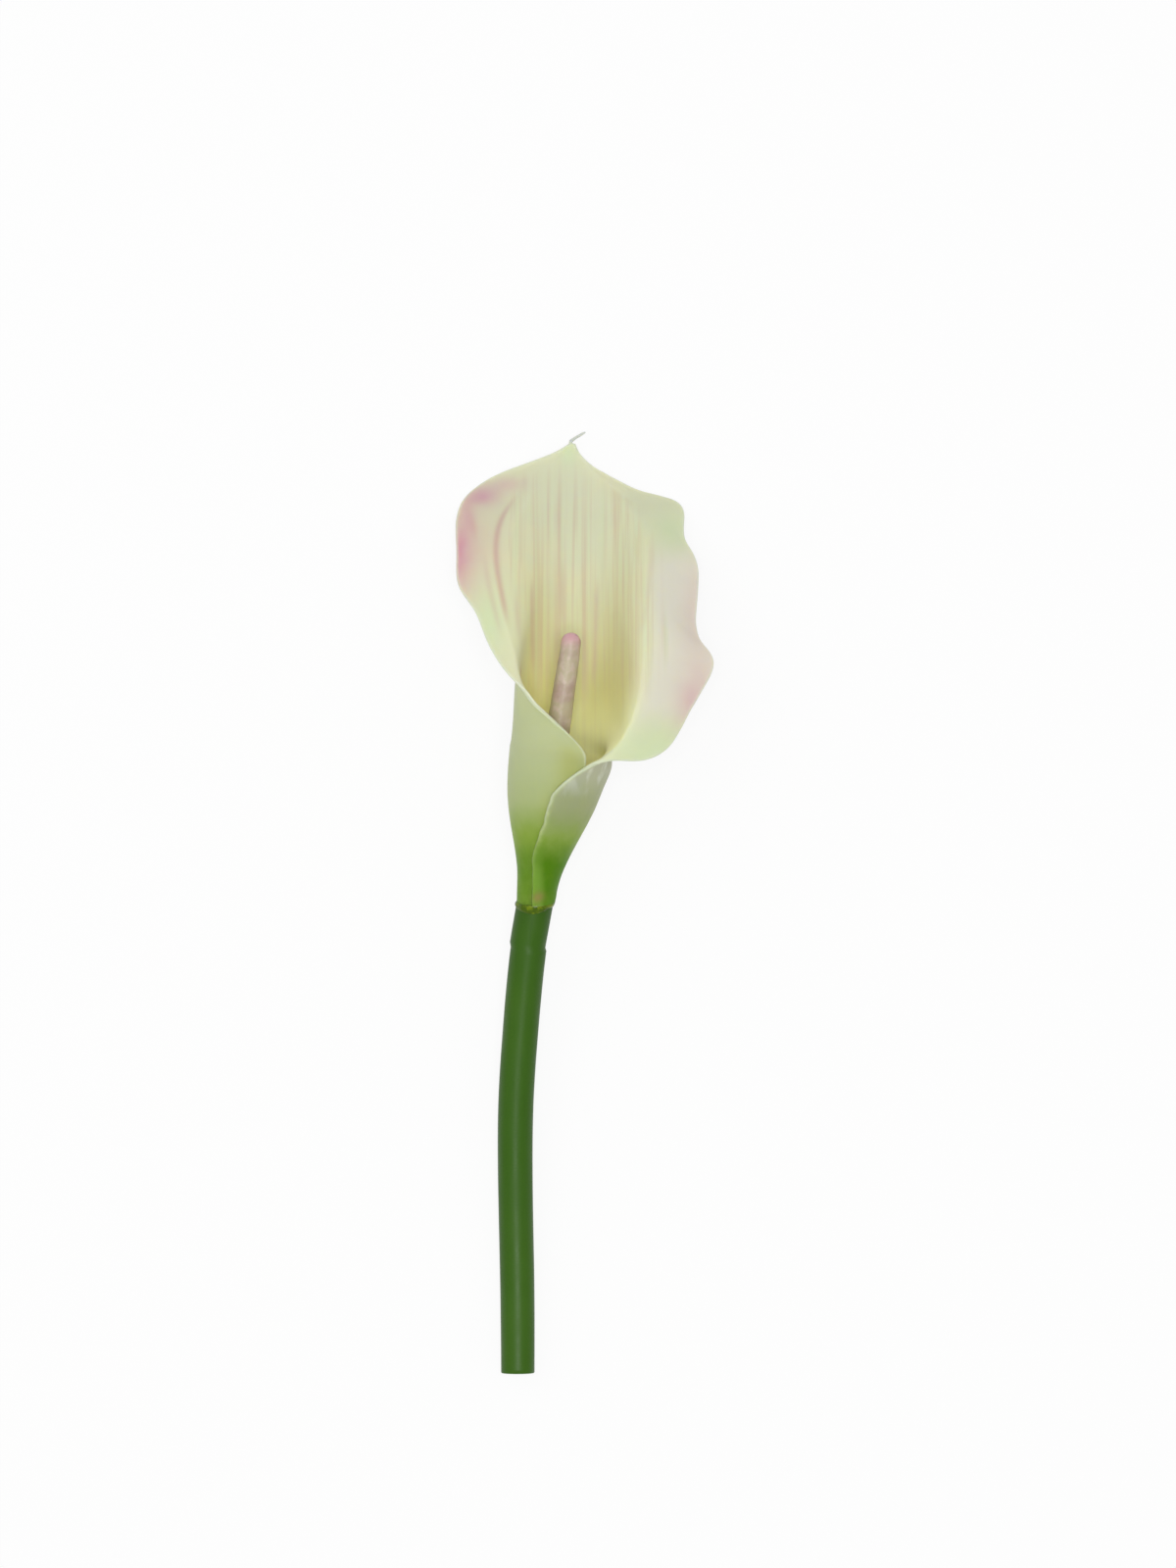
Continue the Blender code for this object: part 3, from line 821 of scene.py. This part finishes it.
def patch(x, y, spots):
    """Round soft spots added up."""
    return sum(bump(x, cx, sx) * bump(y, cy, sy) * strength for cx, cy, sx, sy, strength in spots)


def stroke_mask(x, y):
    """Soft lines through the guide points of each stroke, fading at both ends."""
    total = np.zeros_like(x)
    for points, width, strength in STROKES:
        across, along = np.array(points[::-1]).T
        low, high = along[0], along[-1]
        line = spline(along, across, np.clip(y, low, high).reshape(-1)).reshape(y.shape)
        fade = ramp(y, low, low + 10.0) * (1 - ramp(y, high - 10.0, high))
        total += bump(x, line, width) * fade * strength
    return np.clip(total, 0, 1)


def spathe_masks(points, at, side, from_left, from_right):
    """Where each sprayed colour lies; side is 1 on the inner face and 0 on the outer one."""
    x, y, z = (points[..., k] for k in range(3))
    w = np.broadcast_to(at, x.shape)
    nearest = np.minimum(from_left, from_right)
    inner = np.broadcast_to(side, x.shape).astype(float)
    outer = 1 - inner
    right = ramp(w, 0.45, 0.55)
    bowl = inner * (1 - ramp(w, 0.68, 0.77)) * ramp(w, 0.27, 0.42)
    below_mouth = 1 - ramp(y, 44.0, 56.0)
    # painted light: the neck's green is weaker on the left panel, so that side reads lighter, as if lit
    # from the left
    painted_left_light = (1 - right) * (0.4 - 0.15 * ramp(y, 5.0, 12.0))
    # painted shade: on the left panel the darker lower green is held on up to the lip, for the soft
    # shade of its fold
    left_shade = 0.35 * (1 - right) * (1 - ramp(y, 60.0, 76.0))
    # partly painted light: whiter cream on the right lip, brightened for the light that falls on it
    pale_and_lit_lip = ramp(w, 0.74, 0.86) * ramp(y, 52.0, 66.0) * (1 - ramp(y, 108.0, 122.0))
    streak_area = inner * ramp(y, 60.0, 80.0) * (1 - ramp(y, 124.0, 148.0)) * ramp(nearest, 12.0, 24.0)
    return {
        "outside": outer,
        # darker green low on the outside; on the left panel partly painted shade from the fold
        "low_outside": outer * (1 - ramp(y, 24.0, 56.0) * (1 - left_shade)),
        # painted shade on the outside of the right panel, low down and at its top
        "painted_shade_side": outer * right * ramp(y, 16.0, 26.0) * (1 - ramp(y, 34.0, 46.0)),
        "painted_shade_top": outer * right * ramp(y, 32.0, 44.0),
        "blush": np.clip(patch(x, y, BLUSHES) * ramp(y, 45.0, 60.0), 0, 1),
        "throat": bowl * (1 - ramp(y, 56.0, 116.0)),
        # partly painted light: the yellow bottom of the throat, lifted to stand in for light in its
        # shade
        "deep": inner * (1 - ramp(w, 0.72, 0.82)) * ramp(w, 0.2, 0.32) * (1 - ramp(y, 48.0, 74.0)),
        "cool": np.clip(patch(x, y, COOL_PATCHES) * (1 - outer * right), 0, 1),
        "pale_and_lit_lip": pale_and_lit_lip * inner,
        "streak_area": np.clip(streak_area + 0.2 * bowl * (1 - ramp(y, 60.0, 80.0)), 0, 1),
        "stroke": stroke_mask(x, y) * inner,
        "neck_fade": 1 - ramp(y - 2.5 * (1 - right), 18.0, 32.0),
        # the neck's green, weaker on the left for painted light from that side
        "neck": (1 - ramp(y, 11.0, 23.0)) * (1 - painted_left_light),
        "seam_edge": bump(from_right, 0.4, 0.9) * (1 - ramp(y, 40.0, 50.0)) * ramp(y, 4.0, 30.0),
        "seam_strip": outer * (1 - ramp(from_right, 1.6, 4.6)) * (1 - ramp(y, 8.0, 20.0)) * 0.75,
        # painted shade and bounce light on the left panel beside the seam
        "painted_seam_shade": bump(from_left, 5.0, 5.0) * ramp(y, 12.0, 24.0) * below_mouth * outer,
        "stain": patch(x, y, (STAIN,)) * outer * ramp(z, 22.0, 25.0),
        "rim": (1 - ramp(nearest, 0.4, 1.3)) * ramp(y, 20.0, 40.0) * 0.5,
    }


def tail_rings(columns):
    """Rings round the thread at the tip, in the order of the spathe's own loops."""
    centres = np.array([row[:3] for row in TAIL])
    knots = np.arange(len(TAIL))
    places = np.linspace(0, knots[-1], THREAD_RINGS)
    centres = spline(knots, centres, places)
    radii = spline(knots, np.array([row[3] for row in TAIL]), places)
    radii[-1] *= THREAD_END
    return rings_along(centres, radii, 2 * columns, start=math.pi * (1.0 + 0.5 / columns))


class LILY_OT_spathe(bpy.types.Operator):
    """Loft the latex sheet with its beaded rim and the thread on its tip"""

    bl_idname = "lily.spathe"
    bl_label = "Spathe"

    def execute(self, context):
        settings = context.scene.lily
        rows, columns = SHEET_ROWS, SHEET_COLUMNS
        middle, at = spathe_grid(rows, columns)
        middle = spathe_relief(middle)
        from_left, from_right = edge_distances(middle)
        inset = np.minimum(from_left, from_right)
        half = sheet_profile(inset, settings.sheet / MM, settings.bead / MM)
        offset = grid_normals(middle) * half[..., None]
        tip = 1 - ramp(np.arange(rows), rows - TAPER_ROWS, rows - 1)[:, None, None] * TAPER
        outside, inside = middle - offset * tip, (middle + offset * tip)[:, ::-1]
        loops = np.concatenate((outside, inside), axis=1)
        across = np.concatenate((at, at[::-1]))
        side = np.repeat((0.0, 1.0), columns)
        ends = [np.concatenate((part, part[:, ::-1]), axis=1) for part in (from_left, from_right)]
        masks = spathe_masks(loops, across, side, *ends)
        tail = tail_rings(columns)
        rings = np.concatenate((at_joint(loops, NECK_DROP), tail))
        on_sheet, on_tail = np.zeros(loops.shape[:2]), np.zeros(tail.shape[:2])
        masks = {key: np.concatenate((values + on_sheet, on_tail)) for key, values in masks.items()}
        masks["tail"] = np.concatenate((on_sheet, on_tail + 1.0))
        piece = loft_tube("spathe_sheet", rings, masks)
        settle(piece, "spathe", "spathe_latex", latex_material(settings))
        return {"FINISHED"}


# ------------------------------------------------------------------ the other pieces
class LILY_OT_spadix(bpy.types.Operator):
    """Loft the spadix with its foot, its peg and its round tip"""

    bl_idname = "lily.spadix"
    bl_label = "Spadix"

    def execute(self, context):
        settings = context.scene.lily
        body = np.array(SPADIX_BODY)
        knots = np.arange(len(body))
        fine = spline(knots, body, np.linspace(0, knots[-1], 90))
        ahead = fine[-1, :3] - fine[-2, :3]
        ahead /= np.linalg.norm(ahead)
        peg = SOCKET_RADIUS - GAP
        collar = axis_point(STEM_TOP_Y + GAP)
        start = [
            (*axis_point(STEM_TOP_Y - PEG_LENGTH), peg - PEG_TAPER),
            (*axis_point(STEM_TOP_Y - PEG_LENGTH + 0.8), peg),
            (*collar, peg),
            (*(collar + AXIS * 0.02), body[0, 3]),
        ]
        dome = []
        for degrees in np.linspace(8, 84, 10):
            turn = math.radians(degrees)
            centre = fine[-1, :3] + ahead * fine[-1, 3] * math.sin(turn)
            dome.append((*centre, fine[-1, 3] * math.cos(turn)))
        line = np.vstack((start, fine, dome))
        rings = rings_along(line[:, :3], line[:, 3], SPADIX_SIDES)
        outward = rings - line[:, None, :3]
        swell = soft_noise(rings, 0.45, 2.0) * 0.10 + soft_noise(rings, 0.15, 5.0) * 0.12
        rings = rings + outward / line[:, None, 3:4] * swell[..., None] * ramp(rings[..., 1:2], 45, 52)
        tip_y = rings[..., 1].max()
        masks = {
            "tip": ramp(rings[..., 1], tip_y - 6.5, tip_y - 0.5) * 0.9,
            "foot": 1 - ramp(rings[..., 1], 30.0, 62.0),
        }
        piece = loft_tube("spadix_rod", rings, masks)
        settle(piece, "spadix", "spadix_latex", spadix_material(settings))
        return {"FINISHED"}


def stem_centre(y):
    sway_y, sway_x = zip(*STEM_SWAY)
    y = np.atleast_1d(np.asarray(y, float))
    x = spline(sway_y, sway_x, y)
    centre = np.column_stack((x, y, STEM_END_RADIUS + STEM_LIFT * (y - STEM_END_Y) ** 2))
    straight = y > STRAIGHT_FROM_Y
    centre[straight] = [axis_point(v) for v in y[straight]]
    return centre


def stem_rings(profile, sides):
    """Rings of the stem for a profile of (y, radius), square to its centre line."""
    y = np.array([p[0] for p in profile])
    radii = np.array([p[1] for p in profile])
    along = stem_centre(y + 0.5) - stem_centre(y - 0.5)
    along[y > STRAIGHT_FROM_Y] = AXIS
    rings = [
        rings_along(centre[None], [radius], sides, direction)[0]
        for centre, radius, direction in zip(stem_centre(y), radii, along)
    ]
    return np.array(rings)


class LILY_OT_stem(bpy.types.Operator):
    """Loft the plastic tube: up its outside, over its seat, and down its socket and bore"""

    bl_idname = "lily.stem"
    bl_label = "Stem"

    def execute(self, context):
        settings = context.scene.lily
        seat_y, socket_y = STEM_TOP_Y - SHOULDER, STEM_TOP_Y - SOCKET_DEPTH
        chamfer = STEM_CHAMFER
        outer = [(STEM_END_Y, STEM_END_RADIUS - chamfer)]
        for y in np.linspace(STEM_END_Y + chamfer, seat_y - chamfer, 120):
            share = (y - STEM_END_Y) / (STEM_TOP_Y - STEM_END_Y)
            outer.append((y, STEM_END_RADIUS + (STEM_TOP_RADIUS - STEM_END_RADIUS) * share))
        outer += [(seat_y, STEM_TOP_RADIUS - chamfer), (seat_y, SEAT_RADIUS)]
        outer.append((STEM_TOP_Y, SEAT_RADIUS))
        bore = [(STEM_TOP_Y, SOCKET_RADIUS), (socket_y, SOCKET_RADIUS)]
        bore += [(y, BORE_RADIUS) for y in np.linspace(socket_y, STEM_END_Y, 60)]
        profile = outer + bore
        rings = stem_rings(profile + profile[:1], STEM_SIDES)
        sway = soft_noise(rings, 0.03, 1.0) * 0.10
        outward = rings - rings.mean(axis=1, keepdims=True)
        outward /= np.linalg.norm(outward, axis=2, keepdims=True)
        on_outside = np.array([1.0] * len(outer) + [0.0] * len(bore) + [1.0])
        from_end = ramp(rings[..., 1], STEM_END_Y, STEM_END_Y + 12)
        below_joint = 1 - ramp(rings[..., 1], -14, -8)
        swell = sway * on_outside[:, None] * from_end * below_joint
        rings = at_joint(rings + outward * swell[..., None])
        masks = {
            "top": ramp(rings[..., 1], -12.0, -3.0) * 0.35,
            "cut": 1 - ramp(rings[..., 1], STEM_END_Y + 0.02, STEM_END_Y + 0.2),
        }
        piece = loft_tube("stem_tube", rings, masks, caps=False)
        settle(piece, "stem", "stem_plastic", stem_material(settings))
        return {"FINISHED"}


class LILY_OT_core_wire(bpy.types.Operator):
    """Loft the steel wire in the stem's bore, cut square at the end"""

    bl_idname = "lily.core_wire"
    bl_label = "Core wire"

    def execute(self, context):
        top = STEM_TOP_Y - SOCKET_DEPTH - GAP
        chamfer = WIRE_CHAMFER
        profile = [(STEM_END_Y, WIRE_RADIUS - chamfer)]
        profile += [(y, WIRE_RADIUS) for y in np.linspace(STEM_END_Y + chamfer, top - chamfer, 50)]
        profile.append((top, WIRE_RADIUS - chamfer))
        piece = loft_tube("core_wire", stem_rings(profile, WIRE_SIDES))
        settle(piece, "stem_wire", "wire_steel", steel_material(context.scene.lily))
        return {"FINISHED"}


class LILY_OT_glue_bead(bpy.types.Operator):
    """Loft the ragged bead of glue round the joint of neck and stem"""

    bl_idname = "lily.glue_bead"
    bl_label = "Glue bead"

    def execute(self, context):
        settings = context.scene.lily
        sides = GLUE_SIDES
        turn = np.arange(sides) * 2 * math.pi / sides
        around = np.column_stack((np.cos(turn), np.sin(turn), np.zeros(sides))) * 3.2
        ragged = soft_noise(around, 0.7, 3.0) + 0.5 * soft_noise(around, 2.1, 8.0)
        lump = soft_noise(around, 1.4, 15.0)
        front = bump(turn, math.pi / 2, 0.85)
        # from the lap on the neck, over the joint, to the ragged edge on the stem
        top = axis_point(NECK[1] - NECK_DROP + GLUE_LAP)
        drop = GLUE_DROP + GLUE_FRONT_DROP * front + GLUE_RAGGED * ragged
        rings = []
        for share, radius in GLUE_SECTION + GLUE_SECTION[:1]:
            swell = GLUE_LUMP * lump * (radius > 6.2)
            ring = rings_along(top[None], [radius + swell], sides, AXIS)[0]
            rings.append(at_joint(ring - AXIS * (share * drop)[:, None]))
        piece = loft_tube("glue_bead", np.array(rings), caps=False)
        context.view_layer.objects.active = piece
        soften = piece.modifiers.new("soften", "SUBSURF")
        soften.levels = soften.render_levels = 1
        bpy.ops.object.modifier_apply(modifier=soften.name)
        settle(piece, "glue_ring", "glue_olive", glue_material(settings))
        return {"FINISHED"}


# ------------------------------------------------------------------ stage, in metres
FLOOR_SIZE = 6.0
FRONT_LAMP = (0.1, 0.0, 3.4)
FRONT_LAMP_SIZE = 1.4
KEY_LAMP = (-0.9, 0.5, 1.5)
KEY_LAMP_SIZE = 1.2
LAMP_AIM = (0.0, 0.05, 0.0)


def paper_material(settings):
    """White paper that the camera sees lifted towards pure white."""
    n = Nodes("white_paper", settings)
    n.tree.nodes.remove(n.shader)
    diffuse = n.add("ShaderNodeBsdfDiffuse", Color=(0.86, 0.86, 0.86, 1.0))
    glow = n.add("ShaderNodeEmission", Strength=1.0)
    path = n.add("ShaderNodeLightPath")
    mix = n.add("ShaderNodeMixShader")
    seen = n.maths("MULTIPLY", path.outputs["Is Camera Ray"], settings.floor_glow)
    n.link(seen, mix.inputs["Fac"])
    n.link(diffuse.outputs["BSDF"], mix.inputs[1])
    n.link(glow.outputs["Emission"], mix.inputs[2])
    n.link(mix.outputs["Shader"], n.tree.nodes["Material Output"].inputs["Surface"])
    return n.material


class LILY_OT_stage(bpy.types.Operator):
    """Set the white floor, the soft lights and the camera that looks straight down"""

    bl_idname = "lily.stage"
    bl_label = "Stage"

    def execute(self, context):
        settings = context.scene.lily
        scene = context.scene
        bpy.ops.mesh.primitive_plane_add(size=FLOOR_SIZE, location=(0.0, 0.0, 0.0))
        floor = context.object
        floor.name = "floor"
        floor.data.materials.append(paper_material(settings))

        world = bpy.data.worlds.new("white_tent")
        world.use_nodes = True
        scene.world = world
        background = world.node_tree.nodes["Background"]
        background.inputs["Color"].default_value = (1.0, 1.0, 1.0, 1.0)
        background.inputs["Strength"].default_value = settings.tent
        self.lamp("front", FRONT_LAMP, FRONT_LAMP_SIZE, settings.front)
        self.lamp("key", KEY_LAMP, KEY_LAMP_SIZE, settings.key)

        bpy.ops.object.camera_add(location=(settings.aim_x, settings.aim_y, settings.camera_height))
        camera = context.object
        camera.data.lens = 180.0
        camera.data.sensor_width = 36.0
        camera.data.clip_end = 20.0
        scene.camera = camera
        scene.view_settings.view_transform = "Standard"
        return {"FINISHED"}

    def lamp(self, name, place, size, power):
        bpy.ops.object.light_add(type="AREA", location=place)
        lamp = bpy.context.object
        lamp.name = name
        lamp.data.shape = "DISK"
        lamp.data.size = size
        lamp.data.energy = power
        aim = Vector(LAMP_AIM) - Vector(place)
        lamp.rotation_euler = aim.to_track_quat("-Z", "Y").to_euler()


# ------------------------------------------------------------------ settings, panel and start
def length(name, description, default):
    return bpy.props.FloatProperty(
        name=name, description=description, default=default, min=0.0, unit="LENGTH", precision=5
    )


def shade(name, description, default):
    return bpy.props.FloatVectorProperty(
        name=name, description=description, default=default, min=0.0, max=1.0, size=3,
        subtype="COLOR_GAMMA",
    )


def amount(name, description, default, highest=10.0):
    return bpy.props.FloatProperty(
        name=name, description=description, default=default, min=0.0, max=highest
    )


class LilySettings(bpy.types.PropertyGroup):
    sheet: length("Sheet", "Thickness of the latex", 0.00112)
    bead: length("Rim bead", "How far the rim swells on each face", 0.00012)
    glow_through: amount("Light through", "How much light passes through the latex", 0.6, 1.0)
    latex: shade("Latex", "Cream of the open part", (0.86, 0.865, 0.72))
    latex_warm: shade("Warm latex", "Warmer clouds in the cream", (0.90, 0.87, 0.71))
    latex_cool: shade("Cool latex", "Greener cream of the tip and the lips", (0.82, 0.89, 0.71))
    # partly painted light: cream of the right lip, brightened for the light it catches
    pale_and_lit_lip: shade("Pale lip", "Whiter cream of the right lip", (0.91, 0.885, 0.80))
    outer: shade("Outer latex", "Outside of the trumpet", (0.76, 0.79, 0.64))
    outer_low: shade("Lower outside", "Outside above the neck", (0.665, 0.72, 0.49))
    # painted shade: the darker greys of the outside of the right panel
    outer_painted_shade: shade("Grey side", "Outside of the right panel", (0.60, 0.62, 0.47))
    outer_painted_shade_top: shade("Grey top", "Upper part of the right panel", (0.71, 0.72, 0.62))
    # painted highlight colour for the creases on the right panel
    outer_painted_sheen: shade("Shine", "Light creases on the right panel", (0.84, 0.86, 0.79))
    rim: shade("Rim", "Pale edge of the open part", (0.86, 0.90, 0.78))
    thread: shade("Thread", "Grey of the thread on the tip", (0.72, 0.75, 0.73))
    throat: shade("Throat", "Yellow deep inside", (0.84, 0.81, 0.56))
    # partly painted light: the throat's yellow, lifted near its limit to light the shaded bottom
    deep: shade("Deep throat", "Stronger yellow at the bottom", (0.985, 0.98, 0.71))
    streak: shade("Streaks", "Fine sprayed lines inside", (0.82, 0.73, 0.62))
    streak_pale: shade("Pale streaks", "Greenish lines between them", (0.84, 0.88, 0.71))
    stroke: shade("Strokes", "Broader pink lines inside", (0.79, 0.66, 0.62))
    streak_strength: amount("Streak strength", "How much the fine lines show", 0.85, 1.0)
    blush: shade("Blush", "Pink of the lips", (0.81, 0.58, 0.66))
    neck: shade("Neck", "Green at the foot of the trumpet", (0.32, 0.505, 0.01))
    neck_fade: shade("Neck fade", "Yellow green where the neck fades out", (0.53, 0.64, 0.25))
    # painted shade and yellow bounce light beside the seam
    painted_seam_shade: shade("Beside the seam", "Yellow tint next to the seam", (0.68, 0.70, 0.38))
    seam_strip: shade("Seam strip", "Paler green beside the edge on the neck", (0.49, 0.64, 0.24))
    seam_edge: shade("Seam edge", "Pale edge that laps over the front", (0.80, 0.86, 0.62))
    stain: shade("Stain", "Brown stain above the joint", (0.62, 0.46, 0.33))
    spadix: shade("Spadix", "Dusky pink of the rod", (0.73, 0.685, 0.575))
    spadix_mottle: shade("Spadix mottle", "Paler spots of the rod", (0.79, 0.72, 0.66))
    spadix_dusk: shade("Spadix dusk", "Darker patches of the rod", (0.68, 0.57, 0.54))
    spadix_foot: shade("Spadix foot", "Khaki low down on the rod", (0.72, 0.70, 0.45))
    spadix_tip: shade("Spadix tip", "Brighter pink of its tip", (0.83, 0.64, 0.67))
    stem: shade("Stem", "Dark green of the plastic", (0.215, 0.37, 0.06))
    stem_light: shade("Stem light", "Lighter green in the plastic", (0.25, 0.40, 0.09))
    stem_lines: shade("Stem lines", "Fine darker lines along it", (0.19, 0.34, 0.04))
    stem_top: shade("Stem top", "Darker plastic under the glue", (0.16, 0.30, 0.02))
    stem_cut: shade("Stem cut", "Pale green of the cut end", (0.46, 0.60, 0.34))
    glue: shade("Glue", "Olive of the glue", (0.28, 0.38, 0.02))
    # painted highlight and painted shade colours of the glue
    glue_painted_highlight: shade("Glue light", "Yellower lumps of the glue", (0.45, 0.53, 0.03))
    glue_painted_shade: shade("Glue dark", "Darker hollows of the glue", (0.21, 0.30, 0.02))
    wire: shade("Wire", "Bright steel", (0.62, 0.61, 0.59))
    wire_scratch: shade("Wire scratches", "Darker lines in the steel", (0.42, 0.40, 0.38))
    floor_glow: amount("Floor white", "How far the floor is lifted to white for the camera", 0.88, 1.0)
    tent: amount("Tent", "Strength of the white surroundings", 0.46)
    front: amount("Front lamp", "Power of the lamp straight above in watts", 57.0, 1000.0)
    key: amount("Key lamp", "Power of the upper left lamp in watts", 4.0, 1000.0)
    aim_x: bpy.props.FloatProperty(
        name="Aim across", description="Where the camera looks", default=0.00144, unit="LENGTH"
    )
    aim_y: bpy.props.FloatProperty(
        name="Aim along", description="Where the camera looks", default=0.0384, unit="LENGTH"
    )
    camera_height: length("Camera height", "How far up the camera stands", 2.58)


PIECES = (
    LILY_OT_spathe,
    LILY_OT_spadix,
    LILY_OT_glue_bead,
    LILY_OT_stem,
    LILY_OT_core_wire,
    LILY_OT_stage,
)


class LILY_PT_panel(bpy.types.Panel):
    """Buttons for the pieces, and the sizes and colours they read"""

    bl_label = "Calla Lily"
    bl_space_type = "VIEW_3D"
    bl_region_type = "UI"
    bl_category = "Calla Lily"

    def draw(self, context):
        for operator in PIECES:
            self.layout.operator(operator.bl_idname)
        for key in LilySettings.__annotations__:
            self.layout.prop(context.scene.lily, key)


CLASSES = (LilySettings, *PIECES, LILY_PT_panel)


def register():
    for item in CLASSES:
        bpy.utils.register_class(item)
    bpy.types.Scene.lily = bpy.props.PointerProperty(type=LilySettings)


def unregister():
    del bpy.types.Scene.lily
    for item in reversed(CLASSES):
        bpy.utils.unregister_class(item)


def main():
    register()
    for operator in PIECES:
        group, name = operator.bl_idname.split(".")
        getattr(getattr(bpy.ops, group), name)()


if __name__ == "__main__":
    main()
